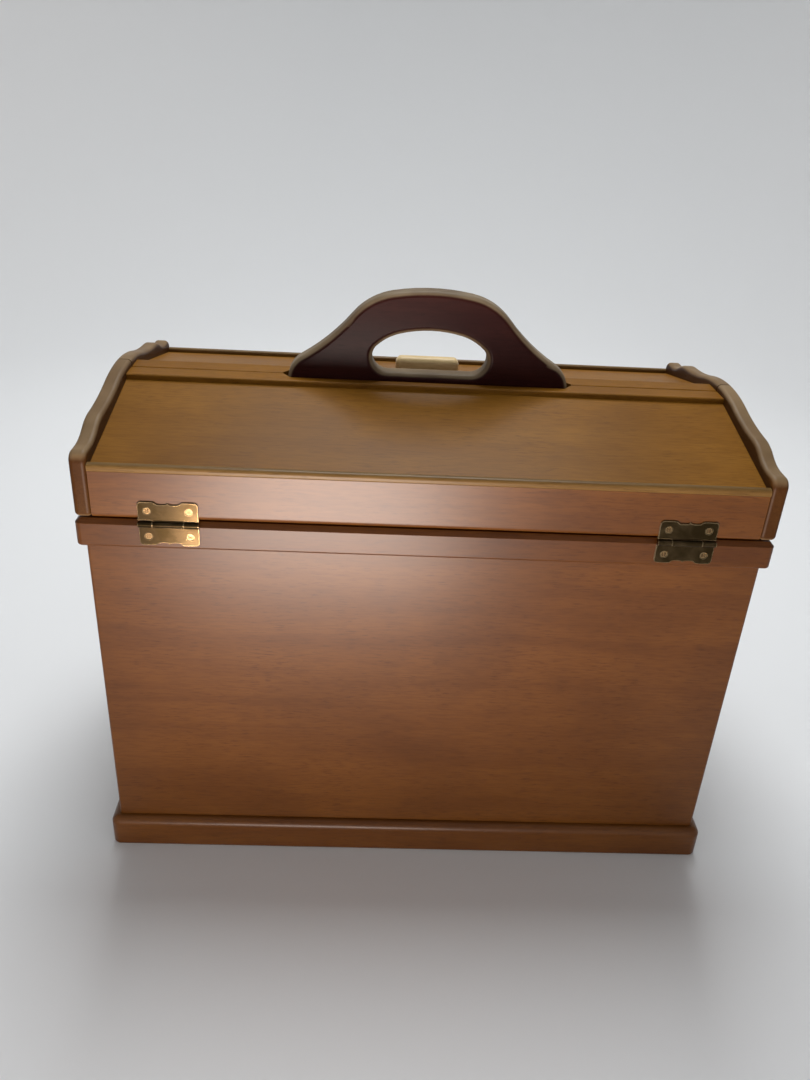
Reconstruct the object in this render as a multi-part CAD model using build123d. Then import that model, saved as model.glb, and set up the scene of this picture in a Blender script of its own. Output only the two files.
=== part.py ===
from build123d import *
from math import cos, radians, tan
import os

# A wooden carrying case for gaming chips.  It stands on a moulded plinth, and its lid is two
# leaves that part along the middle and swing outwards on small brass hinges.  A board down
# the middle of the case rises through a slot between the leaves and ends in the handle.
# A fluted chip tray lies on each side of that board.
#
# Millimetres.  +X is to the right, -Y is the front, +Z is up.
# The origin is the middle of the plinth's underside.

# ---------------------------------------------------------------- the case
BODY_WIDTH = 441.2       # across the end walls
BODY_DEPTH = 244.6       # across the front and rear walls
WALL = 12.0              # thickness of the four walls
WALL_EDGE_R = 2.0        # rounding of the body's upright corners

PLINTH_WIDTH = 453.4
PLINTH_DEPTH = 257.8
PLINTH_HEIGHT = 25.4
PLINTH_RAIL = 22.0       # width of each plinth rail
PLINTH_TOP_R = 6.1
PLINTH_CORNER_R = 6.3
PLINTH_FOOT_R = 1.5

RIM_WIDTH = 451.4
RIM_DEPTH = 252.0
RIM_BOTTOM = 258.5
RIM_TOP = 277.5
RIM_BEVEL = 3.0          # along its upper outer edge
RIM_ARRIS_R = 0.6        # where the bevel meets the face
RIM_CORNER_R = 4.0
RIM_LOW_R = 1.5

BOTTOM_PANEL = 8.0       # thickness

# ---------------------------------------------------------------- the centre board and handle
BOARD = 16.0             # thickness
BOARD_HOUSING = 6.0      # how far it is let into each end wall
BOARD_SIDE_GAP = 0.3     # between the board and the rim above the end walls
BOARD_TOP = 321.6        # its upper edge, just under the leaves' ridge rails
HANDLE_EDGE_R = 4.0
# Ends of the tangent arcs, as (x, z), from the middle of the top down the right side.
HANDLE_ARCS = [(0.0, 402.3), (28.0, 399.7), (56.0, 383.2), (92.2, 351.9), (101.2, 335.8)]
HOLE_ARCS = [(0.0, 374.3), (22.0, 371.4), (38.2, 362.2), (41.3, 354.8)]
HOLE_BOTTOM = 343.3

# ---------------------------------------------------------------- the lid's two leaves
LEAF_WIDTH = 449.2
LEAF_DEPTH = 252.0       # both leaves together
LEAF_BOTTOM = 279.1
LEAF_EDGE_R = 3.2        # rounding along the leaf's lower edge
PARTING = 0.5            # from the middle of the case to each leaf
SKIRT = 12.0             # thickness
END_PANEL = 11.0         # thickness
END_EDGE_R = 3.0         # rounding of the end panels' outer edges
END_INNER_R = 3.2        # rounding of their upper inner edges
# Upper edge of an end panel, as (y, z) from the front corner to the ridge.
END_CORNER_R = 7.0
END_ARCS = [(-111.8, 322.4), (-93.6, 327.1), (-76.8, 331.9), (-36.0, 338.2), (-PARTING, 342.8)]

BEAD_PROUD = 0.5         # how far the bead stands in front of the skirt
BEAD_BACK = 5.0          # from the leaf's front face to the bead's back
BEAD_LOW = 310.8
BEAD_TOP = 315.6
BEAD_FRONT_R = 2.4
BEAD_BACK_R = 1.6
BEAD_LOW_R = 1.0
SLOPE_LOW = 312.3        # height of the slope panel's upper face at the bead
SLOPE_ANGLE = 11.8       # degrees
SLOPE_PANEL = 5.0        # thickness

RIDGE_RAIL = 17.0        # width of each ridge rail
RIDGE_TOP = 337.7
RIDGE_BOTTOM = 322.0
RIDGE_EDGE_R = 1.5
RIDGE_PARTING_R = 1.0
SLOT_TIP = 106.2         # half length of the handle's slot
SLOT_SQUARE = 98.9       # half length of its full-width part
SLOT_HALF_WIDTH = 9.6

PULL_WIDTH = 47.0
PULL_DEPTH = 9.0
PULL_TOP = 347.2
PULL_END_R = 4.6         # rounding of its upper corners
PULL_FRONT_R = 4.0
PULL_BACK_R = 1.8

# ---------------------------------------------------------------- hinges and screws
HINGE_X = 165.8          # from the middle of the case to a hinge
HINGE_HALF = 19.0        # half width of a plate
HINGE_Z = 276.6          # height of the pin
PLATE_BEVEL = 0.25
HINGE_PLATE = 1.2        # thickness
HINGE_STAND = 0.6        # from a plate's outer face to the pin's axis
BARREL_R = 2.1
BARREL_CLEARANCE = 0.4   # between the barrel and the opposite plate
PIN_R = 0.9
PIN_CLEARANCE = 0.05     # radial, in the moving knuckle
KNUCKLE_HALF = 9.7       # half length of the moving knuckle
KNUCKLE_GAP = 0.3
LOBE_TOP = 15.2          # heights of a plate's outline above the pin
LOBE_R = 2.6
LOBE_IN = 9.6
DIP_OUT = 5.6
DIP_IN = 2.2
DIP_TOP = 13.4
CUSP_TOP = 14.7
SCREW_X = 13.1           # from a hinge's middle
SCREW_Z = 8.9            # from its pin
COUNTERSINK_R = 2.5      # at the plate's face
SCREW_SUNK = 0.4         # the head's face below the plate's
SCREW_R = 1.0
SCREW_LENGTH = 10.0
SLOT_REACH = 1.25        # half length of the cross in a head
SLOT_WIDTH = 0.5         # of the cross in the head
SLOT_DEPTH = 0.5

# ---------------------------------------------------------------- chip trays
TRAY_GAP = 0.8           # between a tray and the walls beside it
TRAY_END_GAP = 1.5
TRAY_BOTTOM = 238.0
TRAY_BASE = 4.0
TRAY_BOARD = 5.0         # thickness of the long boards and end boards
TRAY_TOP = 267.0
TRAY_EDGE_R = 1.5
FLUTES = 9
FLUTE_PITCH = 41.2
FLUTE_R = 20.0
FLUTE_DEPTH = 15.0
FLUTE_BLOCK = 18.0
FINGER_SLOT_LENGTH = 34.0
FINGER_SLOT_HEIGHT = 13.0
FINGER_SLOT_Z = 254.5
CLEAT_WIDTH = 7.0
CLEAT_HEIGHT = 10.0
CLEAT_GAP = 0.3          # under the tray

# two places closer than this are the same place
TOUCH = 0.01

# ---------------------------------------------------------------- sizes that follow
BODY_X = BODY_WIDTH / 2
BODY_Y = BODY_DEPTH / 2
INNER_X = BODY_X - WALL
INNER_Y = BODY_Y - WALL
FLOOR = PLINTH_HEIGHT + BOTTOM_PANEL
BOARD_Y = BOARD / 2
LEAF_X = LEAF_WIDTH / 2
LEAF_Y = LEAF_DEPTH / 2
PANEL_X = LEAF_X - END_PANEL
BEAD_Y = -LEAF_Y + BEAD_BACK
RAIL_Y = PARTING + RIDGE_RAIL
HINGE_Y = -(LEAF_Y + HINGE_PLATE + HINGE_STAND)
TRAY_X = INNER_X - TRAY_END_GAP
TRAY_FRONT = -(INNER_Y - TRAY_GAP)
TRAY_REAR = -(BOARD_Y + TRAY_GAP)


# ---------------------------------------------------------------- helpers
def block(x0, x1, y0, y1, z0, z1):
    """A box between two corners."""
    corner = (Align.MIN, Align.MIN, Align.MIN)
    return Pos(x0, y0, z0) * Box(x1 - x0, y1 - y0, z1 - z0, align=corner)


def along_x(lines, x0, x1):
    """A closed (y, z) outline run along X."""
    face = Plane.YZ * make_face(lines)
    return Pos(x0, 0, 0) * extrude(face, x1 - x0)


def across_y(lines, y0, y1):
    """A closed (x, z) outline run along Y."""
    face = Plane.XZ * make_face(lines)
    return Pos(0, y1, 0) * extrude(face, y1 - y0)


def rod_x(radius, x0, x1, y, z):
    """A round bar along X."""
    bar = Rotation(0, 90, 0) * Cylinder(radius, x1 - x0)
    return Pos((x0 + x1) / 2, y, z) * bar


def tangent_arcs(points, direction):
    """Arcs from point to point, each tangent to the one before."""
    arcs = []
    for start, end in zip(points, points[1:]):
        arcs.append(TangentArc(start, end, tangent=direction))
        direction = arcs[-1] % 1
    return arcs


def flipped(lines):
    """The same lines on the other side of the outline's middle."""
    return [mirror(line, about=Plane.YZ) for line in lines]


def other_side(part):
    """The same piece on the rear half of the case."""
    return mirror(part, about=Plane.XZ)


def other_end(part):
    """The same piece at the left end of the case."""
    return mirror(part, about=Plane.YZ)


def slope_top(y):
    """Height of the slope panel's upper face on the front leaf."""
    return SLOPE_LOW + (y - BEAD_Y) * tan(radians(SLOPE_ANGLE))


def slope_under(y):
    """Height of the slope panel's lower face on the front leaf."""
    return slope_top(y) - SLOPE_PANEL / cos(radians(SLOPE_ANGLE))


# ---------------------------------------------------------------- plinth, walls and rim
def rounded_block(half_x, half_y, z0, z1, corner_r):
    """A block on the case's middle with rounded upright corners."""
    solid = block(-half_x, half_x, -half_y, half_y, z0, z1)
    return fillet(solid.edges().filter_by(Axis.Z), corner_r)


def level_edges(solid, z):
    """The solid's edges that lie at one height."""
    return [e for e in solid.edges() if abs(e.center().Z - z) < TOUCH]


def long_edges(solid, y, z):
    """The solid's lengthways edges at one depth and height."""
    level = ShapeList(level_edges(solid, z)).filter_by(Axis.X)
    return [e for e in level if abs(e.center().Y - y) < TOUCH]


def mitred_rails(ring, half_x, half_y, in_x, in_y, z0, z1):
    """The frame cut on its mitre lines into four rails."""
    far_x = 2 * half_x - in_x
    far_y = 2 * half_y - in_y
    turns = [(-1, -1), (1, -1), (1, 1), (-1, 1)]
    rails = {}
    for k, side in enumerate(["front", "right", "rear", "left"]):
        a = turns[k]
        b = turns[(k + 1) % 4]
        plan = Polyline((a[0] * far_x, a[1] * far_y), (b[0] * far_x, b[1] * far_y),
                        (b[0] * in_x, b[1] * in_y), (a[0] * in_x, a[1] * in_y), close=True)
        wedge = Pos(0, 0, z0) * extrude(make_face(plan), z1 - z0)
        rails[side] = ring & wedge
    return rails


def plinth_rails():
    """Base frame that the case stands on."""
    half_x = PLINTH_WIDTH / 2
    half_y = PLINTH_DEPTH / 2
    in_x = half_x - PLINTH_RAIL
    in_y = half_y - PLINTH_RAIL
    ring = rounded_block(half_x, half_y, 0, PLINTH_HEIGHT, PLINTH_CORNER_R)
    ring = fillet(level_edges(ring, PLINTH_HEIGHT), PLINTH_TOP_R)
    ring = fillet(level_edges(ring, 0), PLINTH_FOOT_R)
    ring -= block(-in_x, in_x, -in_y, in_y, 0, PLINTH_HEIGHT)
    return mitred_rails(ring, half_x, half_y, in_x, in_y, 0, PLINTH_HEIGHT)


def rim_rails():
    """Raised frame round the top of the walls."""
    half_x = RIM_WIDTH / 2
    half_y = RIM_DEPTH / 2
    ring = rounded_block(half_x, half_y, RIM_BOTTOM, RIM_TOP, RIM_CORNER_R)
    ring = chamfer(level_edges(ring, RIM_TOP), RIM_BEVEL)
    ring = fillet(level_edges(ring, RIM_TOP - RIM_BEVEL), RIM_ARRIS_R)
    ring = fillet(level_edges(ring, RIM_BOTTOM), RIM_LOW_R)
    ring -= block(-INNER_X, INNER_X, -INNER_Y, INNER_Y, RIM_BOTTOM, RIM_TOP)
    return mitred_rails(ring, half_x, half_y, INNER_X, INNER_Y, RIM_BOTTOM, RIM_TOP)


def front_wall():
    """Full-width wall with rounded upright corners."""
    wall = block(-BODY_X, BODY_X, -BODY_Y, -INNER_Y, PLINTH_HEIGHT, RIM_BOTTOM)
    corners = wall.edges().filter_by(Axis.Z).group_by(Axis.Y)[0]
    return fillet(corners, WALL_EDGE_R)


def right_wall():
    """End wall between the front and rear walls, housed for the centre board."""
    wall = block(INNER_X, BODY_X, -INNER_Y, INNER_Y, PLINTH_HEIGHT, RIM_BOTTOM)
    housing = block(INNER_X, INNER_X + BOARD_HOUSING, -BOARD_Y, BOARD_Y, FLOOR, RIM_BOTTOM)
    return wall - housing


def bottom_panel():
    """Floor of the case, lying on the plinth rails."""
    return block(-INNER_X, INNER_X, -INNER_Y, INNER_Y, PLINTH_HEIGHT, FLOOR)


# ---------------------------------------------------------------- centre board
def handle_outline():
    """The handle's outline above the board's upper edge."""
    end_x, end_z = HANDLE_ARCS[-1]
    right = tangent_arcs(HANDLE_ARCS, (1, 0))
    right.append(Line((end_x, end_z), (end_x, BOARD_TOP)))
    return right + flipped(right) + [Line((end_x, BOARD_TOP), (-end_x, BOARD_TOP))]


def hand_hole_outline():
    """A flattened arch over a straight lower edge with round corners."""
    side_x, side_z = HOLE_ARCS[-1]
    corner_r = side_z - HOLE_BOTTOM
    inner = side_x - corner_r
    right = tangent_arcs(HOLE_ARCS, (1, 0))
    right.append(TangentArc((side_x, side_z), (inner, HOLE_BOTTOM), tangent=(0, -1)))
    return right + flipped(right) + [Line((inner, HOLE_BOTTOM), (-inner, HOLE_BOTTOM))]


def centre_board():
    """Board that divides and carries the case, with the handle on top."""
    housed = INNER_X + BOARD_HOUSING
    free = INNER_X - BOARD_SIDE_GAP
    board = block(-housed, housed, -BOARD_Y, BOARD_Y, FLOOR, RIM_BOTTOM)
    board += block(-free, free, -BOARD_Y, BOARD_Y, RIM_BOTTOM, BOARD_TOP)
    board += across_y(handle_outline(), -BOARD_Y, BOARD_Y)
    board -= across_y(hand_hole_outline(), -BOARD_Y, BOARD_Y)
    faces = board.faces().filter_by(Axis.Y)
    rounded = [e for f in faces for e in f.edges() if e.center().Z > BOARD_TOP + 1]
    return fillet(rounded, HANDLE_EDGE_R)


# ---------------------------------------------------------------- the front leaf
def skirt():
    """The leaf's front rail, rebated under the bead and the slope panel."""
    back = -LEAF_Y + SKIRT
    lines = Polyline((-LEAF_Y, LEAF_BOTTOM), (back, LEAF_BOTTOM), (back, slope_under(back)),
                     (BEAD_Y, slope_under(BEAD_Y)), (BEAD_Y, BEAD_LOW), (-LEAF_Y, BEAD_LOW),
                     close=True)
    rail = along_x(lines, -PANEL_X, PANEL_X)
    return fillet(long_edges(rail, -LEAF_Y, LEAF_BOTTOM), LEAF_EDGE_R)


def edge_bead():
    """Rounded strip on the skirt that stands up in front of the slope panel."""
    bead = block(-PANEL_X, PANEL_X, -LEAF_Y - BEAD_PROUD, BEAD_Y, BEAD_LOW, BEAD_TOP)
    front = -LEAF_Y - BEAD_PROUD
    bead = fillet(long_edges(bead, front, BEAD_TOP), BEAD_FRONT_R)
    bead = fillet(long_edges(bead, BEAD_Y, BEAD_TOP), BEAD_BACK_R)
    return fillet(long_edges(bead, front, BEAD_LOW), BEAD_LOW_R)


def slope_panel():
    """Thin sloping top between the bead and the ridge rail."""
    lines = Polyline((BEAD_Y, slope_under(BEAD_Y)), (-RAIL_Y, slope_under(-RAIL_Y)),
                     (-RAIL_Y, slope_top(-RAIL_Y)), (BEAD_Y, slope_top(BEAD_Y)), close=True)
    return along_x(lines, -PANEL_X, PANEL_X)


def end_outline():
    """Outline of an end panel: square to the ridge, scalloped above."""
    low_front = -LEAF_Y + LEAF_EDGE_R
    low_side = LEAF_BOTTOM + LEAF_EDGE_R
    knob = -LEAF_Y + END_CORNER_R
    high = END_ARCS[0][1]
    ridge_y, ridge_z = END_ARCS[-1]
    return [Line((ridge_y, ridge_z), (ridge_y, LEAF_BOTTOM)),
            Line((ridge_y, LEAF_BOTTOM), (low_front, LEAF_BOTTOM)),
            TangentArc((low_front, LEAF_BOTTOM), (-LEAF_Y, low_side), tangent=(-1, 0)),
            Line((-LEAF_Y, low_side), (-LEAF_Y, high - END_CORNER_R)),
            TangentArc((-LEAF_Y, high - END_CORNER_R), (knob, high), tangent=(0, 1)),
            Line((knob, high), END_ARCS[0])] + tangent_arcs(END_ARCS, (1, 0))


def right_end_panel():
    """End of the leaf, with rounded outer edges and a rounded upper edge."""
    panel = along_x(end_outline(), PANEL_X, LEAF_X)
    ridge_y = END_ARCS[-1][0]
    outer = panel.faces().filter_by(Axis.X).sort_by(Axis.X)[-1]
    loop = [e for e in outer.edges() if e.center().Y < ridge_y - 1]
    panel = fillet(loop, END_EDGE_R)
    inner = panel.faces().filter_by(Axis.X).sort_by(Axis.X)[0]
    corner_low = END_ARCS[0][1] - END_CORNER_R
    upper = [e for e in inner.edges() if e.center().Z > corner_low and e.center().Y < ridge_y - 1]
    return fillet(upper, END_INNER_R)


def ridge_rail():
    """Flat rail along the parting line with half of the handle's slot."""
    rail = block(-PANEL_X, PANEL_X, -RAIL_Y, -PARTING, RIDGE_BOTTOM, RIDGE_TOP)
    top = rail.edges().filter_by(Axis.X).group_by(Axis.Z)[-1].sort_by(Axis.Y)
    rail = fillet(top[0], RIDGE_EDGE_R)
    top = rail.edges().filter_by(Axis.X).group_by(Axis.Z)[-1].sort_by(Axis.Y)
    rail = fillet(top[-1], RIDGE_PARTING_R)
    plan = Polyline((-SLOT_TIP, 0), (-SLOT_SQUARE, -SLOT_HALF_WIDTH),
                    (SLOT_SQUARE, -SLOT_HALF_WIDTH), (SLOT_TIP, 0), close=True)
    slot = Pos(0, 0, RIDGE_BOTTOM) * extrude(make_face(plan), RIDGE_TOP - RIDGE_BOTTOM)
    return rail - slot


def finger_pull():
    """Small round-cornered block on the rear slope panel, against the ridge rail."""
    half = PULL_WIDTH / 2
    back = RAIL_Y + PULL_DEPTH
    lines = Polyline((RAIL_Y, slope_top(-RAIL_Y)), (back, slope_top(-back)), (back, PULL_TOP),
                     (RAIL_Y, PULL_TOP), close=True)
    pull = along_x(lines, -half, half)
    ends = [e for e in level_edges(pull, PULL_TOP) if abs(e.center().X) > 1]
    pull = fillet(ends, PULL_END_R)
    for y, radius in ((RAIL_Y, PULL_FRONT_R), (back, PULL_BACK_R)):
        rim = [e for e in pull.edges() if abs(e.center().Y - y) < TOUCH]
        pull = fillet([e for e in rim if e.center().Z > RIDGE_TOP + 1], radius)
    return pull


# ---------------------------------------------------------------- hinges
def half_plate():
    """Right half of a plate's shaped outline, up from the pin's height."""
    side = LOBE_TOP - LOBE_R
    slope = ((LOBE_IN + DIP_OUT) / 2, (LOBE_TOP + DIP_TOP) / 2)
    lobe = tangent_arcs([(LOBE_IN, LOBE_TOP), slope, (DIP_OUT, DIP_TOP)], (-1, 0))
    return [Line((0, 0), (HINGE_HALF, 0)),
            Line((HINGE_HALF, 0), (HINGE_HALF, side)),
            TangentArc((HINGE_HALF, side), (HINGE_HALF - LOBE_R, LOBE_TOP), tangent=(0, 1)),
            Line((HINGE_HALF - LOBE_R, LOBE_TOP), (LOBE_IN, LOBE_TOP)),
            *lobe,
            Line((DIP_OUT, DIP_TOP), (DIP_IN, DIP_TOP)),
            TangentArc((DIP_IN, DIP_TOP), (0, CUSP_TOP), tangent=(-1, 0)),
            Line((0, CUSP_TOP), (0, 0))]


def upper_plate():
    """One flat plate of a hinge, from the pin's height to its shaped edge."""
    right = across_y(half_plate(), HINGE_STAND, HINGE_STAND + HINGE_PLATE)
    whole = right + mirror(right, about=Plane.YZ)
    rim = [e for e in whole.edges() if abs(e.center().Y - HINGE_STAND) < TOUCH]
    whole = chamfer([e for e in rim if e.center().Z > HINGE_PLATE], PLATE_BEVEL)
    for x in (-SCREW_X, SCREW_X):
        whole -= Pos(x, 0, SCREW_Z) * countersink()
    return whole


def countersink():
    """The cone cut through a plate, wide at its outer face."""
    cone = Rotation(-90, 0, 0) * Cone(COUNTERSINK_R, SCREW_R, HINGE_PLATE)
    return Pos(0, HINGE_STAND + HINGE_PLATE / 2, 0) * cone


def screw():
    """A countersunk screw with its head a little below the plate's face, pointing inwards."""
    face = HINGE_STAND + SCREW_SUNK
    wide = COUNTERSINK_R + 1
    head = countersink() - block(-wide, wide, 0, face, -wide, wide)
    shank = Rotation(90, 0, 0) * Cylinder(SCREW_R, SCREW_LENGTH)
    return head + Pos(0, face + SCREW_LENGTH / 2, 0) * shank


def crossed_screw():
    """The screw with the cross cut in its head."""
    low = HINGE_STAND + SCREW_SUNK
    high = low + SLOT_DEPTH
    half = SLOT_WIDTH / 2
    cross = block(-SLOT_REACH, SLOT_REACH, low, high, -half, half)
    cross += block(-half, half, low, high, -SLOT_REACH, SLOT_REACH)
    return screw() - cross


def fixed_plate():
    """Lower plate with the two outer knuckles."""
    part = mirror(upper_plate(), about=Plane.XY)
    part -= block(-KNUCKLE_HALF - KNUCKLE_GAP, KNUCKLE_HALF + KNUCKLE_GAP,
                  HINGE_STAND, HINGE_STAND + HINGE_PLATE, -BARREL_R - BARREL_CLEARANCE, 0)
    for x0, x1 in ((-HINGE_HALF, -KNUCKLE_HALF - KNUCKLE_GAP),
                   (KNUCKLE_HALF + KNUCKLE_GAP, HINGE_HALF)):
        part += rod_x(BARREL_R, x0, x1, 0, 0)
    return part - rod_x(PIN_R, -HINGE_HALF, HINGE_HALF, 0, 0)


def moving_plate():
    """Upper plate with the middle knuckle, which runs on the pin."""
    part = upper_plate()
    clear = BARREL_R + BARREL_CLEARANCE
    for x0, x1 in ((-HINGE_HALF, -KNUCKLE_HALF), (KNUCKLE_HALF, HINGE_HALF)):
        part -= block(x0, x1, HINGE_STAND, HINGE_STAND + HINGE_PLATE, 0, clear)
    part += rod_x(BARREL_R, -KNUCKLE_HALF, KNUCKLE_HALF, 0, 0)
    return part - rod_x(PIN_R + PIN_CLEARANCE, -KNUCKLE_HALF, KNUCKLE_HALF, 0, 0)


def hinge_pin():
    """Pin through the three knuckles."""
    return rod_x(PIN_R, -HINGE_HALF, HINGE_HALF, 0, 0)


def at_hinge(part, x):
    """A hinge piece moved from the pin's axis to a hinge on the front face."""
    return Pos(x, HINGE_Y, HINGE_Z) * part


def screw_places(sign):
    """Screw positions on the front face, above (+1) or below (-1) the pins."""
    xs = [h + s for h in (-HINGE_X, HINGE_X) for s in (-SCREW_X, SCREW_X)]
    return [Pos(x, HINGE_Y, HINGE_Z + sign * SCREW_Z) for x in xs]


def drilled(part, sign):
    """A rail with its pilot holes."""
    for place in screw_places(sign):
        part -= place * screw()
    return part


def screw_group(sign):
    """The four screws of one row."""
    return Compound([place * crossed_screw() for place in screw_places(sign)])


# ---------------------------------------------------------------- chip trays, front
def tray_base():
    """Thin base under the whole tray."""
    top = TRAY_BOTTOM + TRAY_BASE
    return block(-TRAY_X, TRAY_X, TRAY_FRONT, TRAY_REAR, TRAY_BOTTOM, top)


def tray_long_board(y0):
    """Long board on the base with a rounded top edge."""
    board = block(-TRAY_X, TRAY_X, y0, y0 + TRAY_BOARD, TRAY_BOTTOM + TRAY_BASE, TRAY_TOP)
    top = board.edges().filter_by(Axis.X).group_by(Axis.Z)[-1]
    return fillet(top, TRAY_EDGE_R)


def tray_right_end():
    """End board between the long boards, with a slot for a finger."""
    y0 = TRAY_FRONT + TRAY_BOARD
    y1 = TRAY_REAR - TRAY_BOARD
    board = block(TRAY_X - TRAY_BOARD, TRAY_X, y0, y1, TRAY_BOTTOM + TRAY_BASE, TRAY_TOP)
    top = board.edges().filter_by(Axis.Y).group_by(Axis.Z)[-1]
    board = fillet(top, TRAY_EDGE_R)
    hole = Plane.YZ * SlotOverall(FINGER_SLOT_LENGTH, FINGER_SLOT_HEIGHT)
    place = Pos(TRAY_X - TRAY_BOARD, (y0 + y1) / 2, FINGER_SLOT_Z)
    return board - place * extrude(hole, TRAY_BOARD)


def flute_block():
    """Block with a round-bottomed flute for each row of chips."""
    half = FLUTES * FLUTE_PITCH / 2
    y0 = TRAY_FRONT + TRAY_BOARD
    y1 = TRAY_REAR - TRAY_BOARD
    bottom = TRAY_BOTTOM + TRAY_BASE
    top = bottom + FLUTE_BLOCK
    body = block(-half, half, y0, y1, bottom, top)
    tool = Rotation(90, 0, 0) * Cylinder(FLUTE_R, y1 - y0)
    axis_z = top - FLUTE_DEPTH + FLUTE_R
    for k in range(FLUTES):
        x = (k - (FLUTES - 1) / 2) * FLUTE_PITCH
        body -= Pos(x, (y0 + y1) / 2, axis_z) * tool
    return body


def cleat(y0):
    """Strip that a tray's edge rests on."""
    top = TRAY_BOTTOM - CLEAT_GAP
    return block(-INNER_X, INNER_X, y0, y0 + CLEAT_WIDTH, top - CLEAT_HEIGHT, top)


# ---------------------------------------------------------------- the whole case
def case_nodes():
    """Plinth, walls, rim, centre board and cleats."""
    nodes = {f"plinth_{side}": rail for side, rail in plinth_rails().items()}
    rims = rim_rails()
    rims["front"] = drilled(rims["front"], -1)
    rims["rear"] = other_side(rims["front"])
    nodes.update({f"rim_{side}": rail for side, rail in rims.items()})
    nodes["front_wall"] = front_wall()
    nodes["rear_wall"] = other_side(nodes["front_wall"])
    nodes["right_wall"] = right_wall()
    nodes["left_wall"] = other_end(nodes["right_wall"])
    nodes["bottom_panel"] = bottom_panel()
    nodes["centre_board"] = centre_board()
    nodes["front_wall_cleat"] = cleat(-INNER_Y)
    nodes["front_board_cleat"] = cleat(-BOARD_Y - CLEAT_WIDTH)
    nodes["rear_wall_cleat"] = other_side(nodes["front_wall_cleat"])
    nodes["rear_board_cleat"] = other_side(nodes["front_board_cleat"])
    return nodes


def leaf_nodes():
    """The pieces of both leaves and the rear leaf's finger pull."""
    end = right_end_panel()
    front = {"skirt": drilled(skirt(), 1), "bead": edge_bead(), "slope_panel": slope_panel(),
             "ridge_rail": ridge_rail(), "right_end": end, "left_end": other_end(end)}
    nodes = {f"front_leaf_{name}": part for name, part in front.items()}
    nodes.update({f"rear_leaf_{name}": other_side(part) for name, part in front.items()})
    nodes["rear_leaf_finger_pull"] = finger_pull()
    return nodes


def hinge_nodes():
    """Four hinges of two plates and a pin, and the four rows of screws."""
    makers = {"fixed_plate": fixed_plate(), "moving_plate": moving_plate(), "pin": hinge_pin()}
    nodes = {}
    for end, x in (("left", -HINGE_X), ("right", HINGE_X)):
        for name, part in makers.items():
            placed = at_hinge(part, x)
            nodes[f"front_{end}_hinge_{name}"] = placed
            nodes[f"rear_{end}_hinge_{name}"] = other_side(placed)
    for row, sign in (("rim", -1), ("leaf", 1)):
        nodes[f"front_{row}_screws"] = screw_group(sign)
        nodes[f"rear_{row}_screws"] = other_side(nodes[f"front_{row}_screws"])
    return nodes


def tray_nodes():
    """Both chip trays."""
    end = tray_right_end()
    front = {"base": tray_base(), "flutes": flute_block(), "right_end": end,
             "left_end": other_end(end), "wall_board": tray_long_board(TRAY_FRONT),
             "centre_side_board": tray_long_board(TRAY_REAR - TRAY_BOARD)}
    nodes = {f"front_tray_{name}": part for name, part in front.items()}
    nodes.update({f"rear_tray_{name}": other_side(part) for name, part in front.items()})
    return nodes


def main():
    """Write one STEP file for each piece."""
    os.makedirs("parts", exist_ok=True)
    nodes = {**case_nodes(), **leaf_nodes(), **hinge_nodes(), **tray_nodes()}
    for name, part in nodes.items():
        export_step(part, f"parts/{name}.step")


main()
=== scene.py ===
import bpy
import math
from mathutils import Matrix, Vector


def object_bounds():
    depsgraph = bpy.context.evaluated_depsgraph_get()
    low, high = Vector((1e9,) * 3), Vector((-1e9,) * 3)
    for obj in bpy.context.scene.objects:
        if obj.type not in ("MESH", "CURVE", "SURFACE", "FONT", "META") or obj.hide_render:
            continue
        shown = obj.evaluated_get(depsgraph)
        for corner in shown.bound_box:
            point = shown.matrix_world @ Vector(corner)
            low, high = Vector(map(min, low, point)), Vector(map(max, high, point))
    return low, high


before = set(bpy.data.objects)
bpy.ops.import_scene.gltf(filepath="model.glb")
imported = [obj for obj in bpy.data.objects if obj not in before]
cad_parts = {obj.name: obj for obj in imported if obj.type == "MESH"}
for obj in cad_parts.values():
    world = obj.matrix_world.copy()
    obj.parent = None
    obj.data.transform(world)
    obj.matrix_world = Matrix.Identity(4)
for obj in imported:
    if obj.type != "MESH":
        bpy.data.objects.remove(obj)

# Looks for a wooden chip case: satin-lacquered stained wood and antiqued brass.
# Everything is in metres, in the frame's own axes: +X right, -Y front, +Z up.

CAD_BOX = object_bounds()


# ---------------------------------------------------------------- camera
CAMERA_PLACE = Vector((-0.0407, -0.6475, 0.5482))
CAMERA_AIM = Vector((-0.0099, 0.0029, 0.2024))
CAMERA_ROLL = math.radians(3.29)
CAMERA_LENS = 30.69     # mm, on a sensor as wide as CAMERA_SENSOR
CAMERA_SENSOR = 36.0
CAMERA_NEAR = 0.01


def make_camera():
    """A phone-like view from above the front, a little left of the middle."""
    data = bpy.data.cameras.new("camera")
    data.lens = CAMERA_LENS
    data.sensor_width = CAMERA_SENSOR
    data.clip_start = CAMERA_NEAR
    camera = bpy.data.objects.new("camera", data)
    bpy.context.collection.objects.link(camera)
    look = (CAMERA_AIM - CAMERA_PLACE).to_track_quat("-Z", "Y").to_matrix().to_4x4()
    camera.matrix_world = Matrix.Translation(CAMERA_PLACE) @ look @ Matrix.Rotation(CAMERA_ROLL, 4, "Z")
    bpy.context.scene.camera = camera


make_camera()


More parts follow.
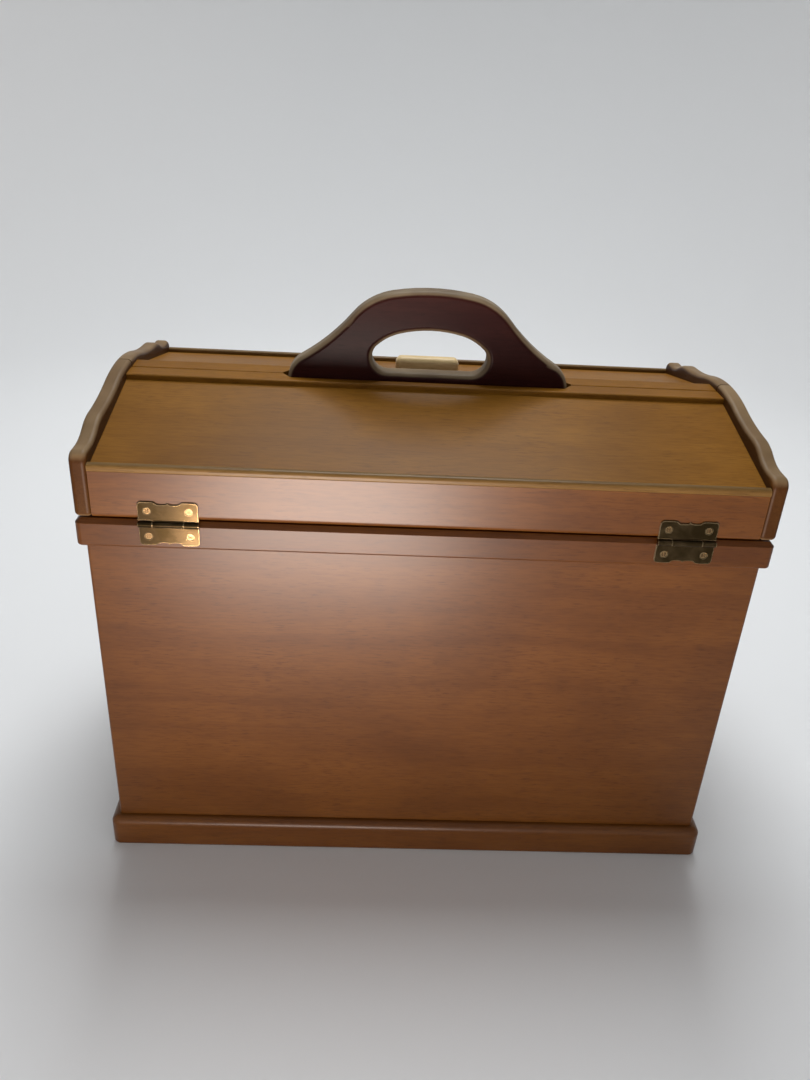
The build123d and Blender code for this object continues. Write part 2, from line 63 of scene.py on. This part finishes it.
# ---------------------------------------------------------------- node helpers
class Shader:
    """A new node material with short calls for the nodes used here."""

    def __init__(self, name):
        self.material = bpy.data.materials.new(name)
        self.material.use_nodes = True
        self.tree = self.material.node_tree
        self.surface = self.tree.nodes["Principled BSDF"]

    def node(self, kind, **settings):
        """A new node of this kind, with its settings."""
        made = self.tree.nodes.new(kind)
        for key, value in settings.items():
            setattr(made, key, value)
        return made

    def link(self, source, target):
        """Joins an output to an input."""
        self.tree.links.new(source, target)

    def feed(self, socket, value):
        """Links a socket, or sets a plain number, vector or colour."""
        if isinstance(value, bpy.types.NodeSocket):
            self.link(value, socket)
        else:
            socket.default_value = value

    def place(self, stretch, offset=(0, 0, 0)):
        """Object coordinates scaled along the three axes."""
        coords = self.node("ShaderNodeTexCoord")
        mapping = self.node("ShaderNodeMapping")
        self.link(coords.outputs["Object"], mapping.inputs["Vector"])
        mapping.inputs["Scale"].default_value = stretch
        mapping.inputs["Location"].default_value = offset
        return mapping.outputs["Vector"]

    def noise(self, vector, scale=1.0, detail=4.0, rough=0.5, distortion=0.0):
        """Noise between 0 and 1 over these coordinates."""
        made = self.node("ShaderNodeTexNoise")
        self.link(vector, made.inputs["Vector"])
        made.inputs["Scale"].default_value = scale
        made.inputs["Detail"].default_value = detail
        made.inputs["Roughness"].default_value = rough
        made.inputs["Distortion"].default_value = distortion
        return made.outputs["Fac"]

    def ramp(self, value, low, high, out_low=0.0, out_high=1.0):
        """Maps low..high to out_low..out_high smoothly and clamps it."""
        made = self.node("ShaderNodeMapRange", interpolation_type="SMOOTHSTEP")
        self.link(value, made.inputs["Value"])
        made.inputs["From Min"].default_value = low
        made.inputs["From Max"].default_value = high
        made.inputs["To Min"].default_value = out_low
        made.inputs["To Max"].default_value = out_high
        return made.outputs["Result"]

    def math(self, operation, a, b):
        """One sum of two values."""
        made = self.node("ShaderNodeMath", operation=operation)
        self.feed(made.inputs[0], a)
        self.feed(made.inputs[1], b)
        return made.outputs[0]

    def mix(self, factor, a, b, blend="MIX"):
        """Mixes two colours."""
        made = self.node("ShaderNodeMix", data_type="RGBA", blend_type=blend)
        self.feed(made.inputs[0], factor)
        self.feed(made.inputs[6], a)
        self.feed(made.inputs[7], b)
        return made.outputs[2]

    def bump(self, height, distance, strength=1.0, under=None):
        """A surface normal raised by a height, on top of another normal where one is given."""
        made = self.node("ShaderNodeBump")
        made.inputs["Strength"].default_value = strength
        made.inputs["Distance"].default_value = distance
        self.link(height, made.inputs["Height"])
        if under is not None:
            self.link(under, made.inputs["Normal"])
        return made.outputs["Normal"]


# ---------------------------------------------------------------- wood
EVEN = (1.0, 1.0, 1.0)          # coordinates that aren't stretched
GRAIN = {"X": (1.0, 11.0, 11.0), "Y": (11.0, 1.0, 11.0)}
WOOD_EDGE_R = 0.0012            # reach of the lighter arrises, worn and with a painted highlight
WOOD_SPECULAR = 0.03            # low, because the lacquer's coat carries the reflections
LACQUER_IOR = 1.5
RIPPLE_HEIGHT = 0.0006
PORE_DEPTH = 0.00008


def edge_mask(s, radius):
    """Nearly 1 on sharp and tightly rounded edges, 0 on flat faces."""
    bevel = s.node("ShaderNodeBevel", samples=4)
    bevel.inputs["Radius"].default_value = radius
    flat = s.node("ShaderNodeNewGeometry")
    dot = s.node("ShaderNodeVectorMath", operation="DOT_PRODUCT")
    s.link(bevel.outputs["Normal"], dot.inputs[0])
    s.link(flat.outputs["True Normal"], dot.inputs[1])
    return s.ramp(dot.outputs["Value"], 0.995, 0.90)


def painted_highlight_mask(s, axis, no_highlight_at, full_highlight_at):
    """1 where a highlight is painted on, ramped by how far the piece's own normal leans along one axis."""
    coords = s.node("ShaderNodeTexCoord")
    parts = s.node("ShaderNodeSeparateXYZ")
    s.link(coords.outputs["Normal"], parts.inputs[0])
    return s.ramp(s.math("ABSOLUTE", parts.outputs[axis], 0.0), no_highlight_at, full_highlight_at)


def wood(name, along, look, offset):
    """Stained close-grained wood under a satin lacquer.

    along is the grain's direction. look holds the dark, middle and light stain, in some looks made
    lighter or darker as painted light and shade, and the lacquer's weight and roughness.
    """
    s = Shader(name)
    dark, middle, light, coat, coat_rough = look
    axes = s.place(GRAIN[along], offset)
    plain = s.place(EVEN, offset)

    # Broad figure, blotches where the stain took unevenly, fine fibres and short flecks.
    figure = s.noise(axes, 5.0, 4.0, 0.55, 0.8)
    blotch = s.noise(plain, 12.0, 3.0, 0.5, 0.4)
    fibres = s.noise(axes, 60.0, 5.0, 0.65, 0.2)
    flecks = s.noise(axes, 120.0, 2.0, 0.5)
    patches = s.noise(plain, 30.0, 2.0, 0.5)

    tone = s.mix(s.ramp(figure, 0.32, 0.68, 0.0, 0.48), middle, light)
    tone = s.mix(s.ramp(blotch, 0.38, 0.70, 0.0, 0.30), tone, dark)
    tone = s.mix(s.ramp(fibres, 0.42, 0.62, 0.0, 0.28), tone, dark)
    fleck_depth = s.math("MULTIPLY", s.ramp(flecks, 0.58, 0.68), s.ramp(patches, 0.38, 0.60, 0.1, 0.55))
    tone = s.mix(fleck_depth, tone, dark)
    # Arrises lightened in patches: wear, and also a painted highlight on the rounded edges.
    arris_wear_and_highlight = s.ramp(patches, 0.35, 0.65, 0.15, 0.5)
    tone = s.mix(s.math("MULTIPLY", edge_mask(s, WOOD_EDGE_R), arris_wear_and_highlight), tone, light)
    # Painted highlight on the handle's rounded edges and on the up- and down-facing faces of the leaves'
    # end panels, varied in patches.
    if look in PAINTED_HIGHLIGHTS:
        colour, axis, no_highlight_at, full_highlight_at = PAINTED_HIGHLIGHTS[look]
        wear_and_highlight = s.math("MULTIPLY", painted_highlight_mask(s, axis, no_highlight_at, full_highlight_at), s.ramp(patches, 0.3, 0.7, 0.85, 0.5))
        tone = s.mix(wear_and_highlight, tone, colour)
    s.link(tone, s.surface.inputs["Base Color"])

    gloss = s.ramp(blotch, 0.3, 0.7, 0.50, 0.40)
    s.link(gloss, s.surface.inputs["Roughness"])
    ripple = s.bump(figure, RIPPLE_HEIGHT, 0.12)
    relief = s.bump(flecks, PORE_DEPTH, 0.35, under=ripple)
    s.link(relief, s.surface.inputs["Normal"])
    s.surface.inputs["Specular IOR Level"].default_value = WOOD_SPECULAR
    s.surface.inputs["Coat Weight"].default_value = coat
    s.surface.inputs["Coat Roughness"].default_value = coat_rough
    s.surface.inputs["Coat IOR"].default_value = LACQUER_IOR
    return s.material


# ---------------------------------------------------------------- brass
BRUSHING = (40.0, 900.0, 900.0)     # fine lines along X
BRUSH_DEPTH = 0.00002
# Painted shade with patina: how far it reaches into corners, and its colour.
SHADE_AND_PATINA_REACH = 0.0012
SHADE_AND_PATINA_COLOUR = (0.030, 0.016, 0.007, 1)
BRASS_EDGE_R = 0.0005


def brass(name, look, offset):
    """Antiqued rolled brass, darkened in its corners and recesses by painted shade with patina, and bright
    on its edges.

    look holds the colours of the old finish, the rubbed metal and the bright edges.
    """
    s = Shader(name)
    old, bright, edge = look
    plain = s.place(EVEN, offset)
    patina = s.noise(plain, 60.0, 4.0, 0.55, 0.5)
    brushed = s.noise(s.place(BRUSHING, offset), 1.0, 3.0, 0.5)
    # Painted shade: ambient occlusion darkens and roughens the corners and recesses, for their shade as
    # well as for patina.
    corner = s.node("ShaderNodeAmbientOcclusion", samples=6)
    corner.inputs["Distance"].default_value = SHADE_AND_PATINA_REACH
    shade_and_patina = s.ramp(corner.outputs["AO"], 0.94, 0.62)
    wear_and_highlight = s.mix(s.ramp(patina, 0.35, 0.68), old, bright)
    tone = s.mix(s.math("MULTIPLY", shade_and_patina, 0.9), wear_and_highlight, SHADE_AND_PATINA_COLOUR)
    tone = s.mix(s.math("MULTIPLY", edge_mask(s, BRASS_EDGE_R), 0.95), tone, edge)
    s.link(tone, s.surface.inputs["Base Color"])
    s.surface.inputs["Metallic"].default_value = 1.0
    shine = s.ramp(patina, 0.3, 0.7, 0.26, 0.15)
    s.link(s.math("ADD", shine, s.math("MULTIPLY", shade_and_patina, 0.3)), s.surface.inputs["Roughness"])
    s.link(s.bump(brushed, BRUSH_DEPTH, 0.5), s.surface.inputs["Normal"])
    return s.material


# Colours of the old finish, the rubbed metal and the bright edges.
HINGE_BRASS = ((0.036, 0.023, 0.009, 1), (0.088, 0.058, 0.028, 1), (0.72, 0.52, 0.28, 1))
SCREW_BRASS = ((0.042, 0.022, 0.010, 1), (0.110, 0.064, 0.034, 1), (0.60, 0.40, 0.19, 1))

# Dark, middle and light stain, then the lacquer's weight and roughness. RIM, BEAD, PALE and PLUM hold
# painted light and shade.
RED = ((0.044, 0.012, 0.0015, 1), (0.094, 0.031, 0.0035, 1), (0.140, 0.051, 0.007, 1), 0.60, 0.33)
# RIM: the red stain made darker on the rim, as painted shade.
RIM = ((0.034, 0.009, 0.001, 1), (0.074, 0.023, 0.0025, 1), (0.110, 0.038, 0.005, 1), 0.55, 0.33)
BROWN = ((0.027, 0.009, 0.0015, 1), (0.054, 0.019, 0.0035, 1), (0.086, 0.037, 0.009, 1), 0.15, 0.40)
GOLD = ((0.090, 0.032, 0.003, 1), (0.188, 0.076, 0.007, 1), (0.250, 0.110, 0.013, 1), 0.12, 0.36)
# BEAD: the gold stain made lighter on the bead, as a painted highlight.
BEAD = ((0.074, 0.036, 0.008, 1), (0.140, 0.075, 0.020, 1), (0.195, 0.115, 0.040, 1), 0.28, 0.32)
# PALE: the gold stain made much lighter on the pull, as painted light.
PALE = ((0.400, 0.270, 0.120, 1), (0.680, 0.500, 0.250, 1), (0.760, 0.590, 0.330, 1), 0.30, 0.32)
# PLUM: the handle's wood made near black, as painted shade.
PLUM = ((0.012, 0.0020, 0.002, 1), (0.026, 0.005, 0.004, 1), (0.045, 0.012, 0.009, 1), 0.07, 0.22)

# Painted highlight: its colour, the axis of the normal that finds the faces it goes on, and that normal's
# values for none and for all of it.
PAINTED_HIGHLIGHTS = {PLUM: ((0.240, 0.180, 0.110, 1), "Y", 0.985, 0.80),
          BROWN: ((0.235, 0.155, 0.080, 1), "Z", 0.15, 0.85)}


# A word in a node's name, and the look it gives. Other pieces are RED.
LOOKS = (("centre_board", PLUM), ("rim", RIM), ("pull", PALE), ("bead", BEAD), ("slope", GOLD),
         ("ridge", GOLD))

# Pieces that run from front to rear, besides the end panels and the tray ends.
FRONT_TO_REAR = ("left_wall", "right_wall", "plinth_left", "plinth_right", "rim_left", "rim_right")


def wood_for(node):
    """The grain's direction and the look of a wooden piece."""
    along = "Y" if node in FRONT_TO_REAR or node.endswith("_end") else "X"
    if "_leaf_" in node and node.endswith("_end"):
        return along, BROWN
    for word, look in LOOKS:
        if word in node:
            return along, look
    return along, RED


# How far apart in the timber two pieces' coordinates lie.
TIMBER_STEP = (0.37, 0.61, 0.23)


def dress_nodes():
    """Gives every CAD node its own material, each cut from a different part of the timber."""
    for count, (name, item) in enumerate(sorted(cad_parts.items())):
        offset = tuple(step * count for step in TIMBER_STEP)
        if "screws" in name:
            made = brass(name, SCREW_BRASS, offset)
        elif "hinge" in name:
            made = brass(name, HINGE_BRASS, offset)
        else:
            along, look = wood_for(name)
            made = wood(name, along, look, offset)
        item.data.materials.clear()
        item.data.materials.append(made)


# ---------------------------------------------------------------- floor and light
FLOOR_FLAT = 1.25       # radius of the flat part
FLOOR_CURVE = 0.85      # radius of the curve up to the wall
WALL_TOP = 2.4
CURVE_STEPS = 12
AROUND = 96
FLOOR_COLOUR = (0.76, 0.76, 0.76, 1)
FLOOR_ROUGHNESS = 0.75


def stage_floor():
    """A pale round floor that curves up into a plain wall on every side."""
    profile = [(FLOOR_FLAT, 0.0)]
    for step in range(1, CURVE_STEPS + 1):
        angle = math.radians(90 * step / CURVE_STEPS)
        reach = FLOOR_FLAT + FLOOR_CURVE * math.sin(angle)
        profile.append((reach, FLOOR_CURVE * (1 - math.cos(angle))))
    profile.append((FLOOR_FLAT + FLOOR_CURVE, WALL_TOP))
    low = CAD_BOX[0][2]
    verts = [(0, 0, low)]
    for reach, rise in profile:
        for k in range(AROUND):
            turn = 2 * math.pi * k / AROUND
            verts.append((reach * math.cos(turn), reach * math.sin(turn), low + rise))
    faces = [(0, 1 + k, 1 + (k + 1) % AROUND) for k in range(AROUND)]
    for ring in range(len(profile) - 1):
        first = 1 + ring * AROUND
        for k in range(AROUND):
            after = (k + 1) % AROUND
            faces.append((first + k, first + k + AROUND, first + after + AROUND, first + after))
    mesh = bpy.data.meshes.new("floor")
    mesh.from_pydata(verts, [], faces)
    mesh.polygons.foreach_set("use_smooth", [True] * len(faces))
    floor = bpy.data.objects.new("floor", mesh)
    bpy.context.collection.objects.link(floor)
    s = Shader("floor")
    s.surface.inputs["Base Color"].default_value = FLOOR_COLOUR
    s.surface.inputs["Roughness"].default_value = FLOOR_ROUGHNESS
    mesh.materials.append(s.material)


def area_light(name, place, aim, size, power, colour=(1, 1, 1), spread=180):
    """A rectangular soft light pointing at a place, not seen itself, with its spread in degrees."""
    data = bpy.data.lights.new(name, "AREA")
    data.shape = "RECTANGLE"
    data.size, data.size_y = size
    data.energy = power
    data.color = colour
    data.spread = math.radians(spread)
    light = bpy.data.objects.new(name, data)
    bpy.context.collection.objects.link(light)
    turn = (Vector(aim) - Vector(place)).to_track_quat("-Z", "Y").to_matrix().to_4x4()
    light.matrix_world = Matrix.Translation(place) @ turn
    light.visible_camera = False


SURROUND_COLOUR = (0.90, 0.94, 1.0, 1)
SURROUND_STRENGTH = 0.08


def make_light():
    """A window behind and above, a warm low bounce in front, and a dim surround."""
    area_light("window", place=(0.02, 0.65, 1.70), aim=(0, 0.1, 0.2), size=(0.8, 1.1), power=29,
               colour=(0.95, 0.98, 1.0))
    area_light("ceiling", place=(0, -0.75, 2.1), aim=(0, -0.4, 0), size=(2.0, 1.2), power=2.5)
    area_light("bounce", place=(-0.095, -0.66, 0.04), aim=(-0.10, -0.36, 0.9), size=(0.30, 0.48),
               power=13.6, colour=(1.0, 0.85, 0.76), spread=165)
    world = bpy.data.worlds.new("studio")
    world.use_nodes = True
    world.node_tree.nodes["Background"].inputs["Color"].default_value = SURROUND_COLOUR
    world.node_tree.nodes["Background"].inputs["Strength"].default_value = SURROUND_STRENGTH
    bpy.context.scene.world = world
    # The plain transform keeps the dark stain's own colours.
    bpy.context.scene.view_settings.view_transform = "Standard"


dress_nodes()
stage_floor()
make_light()
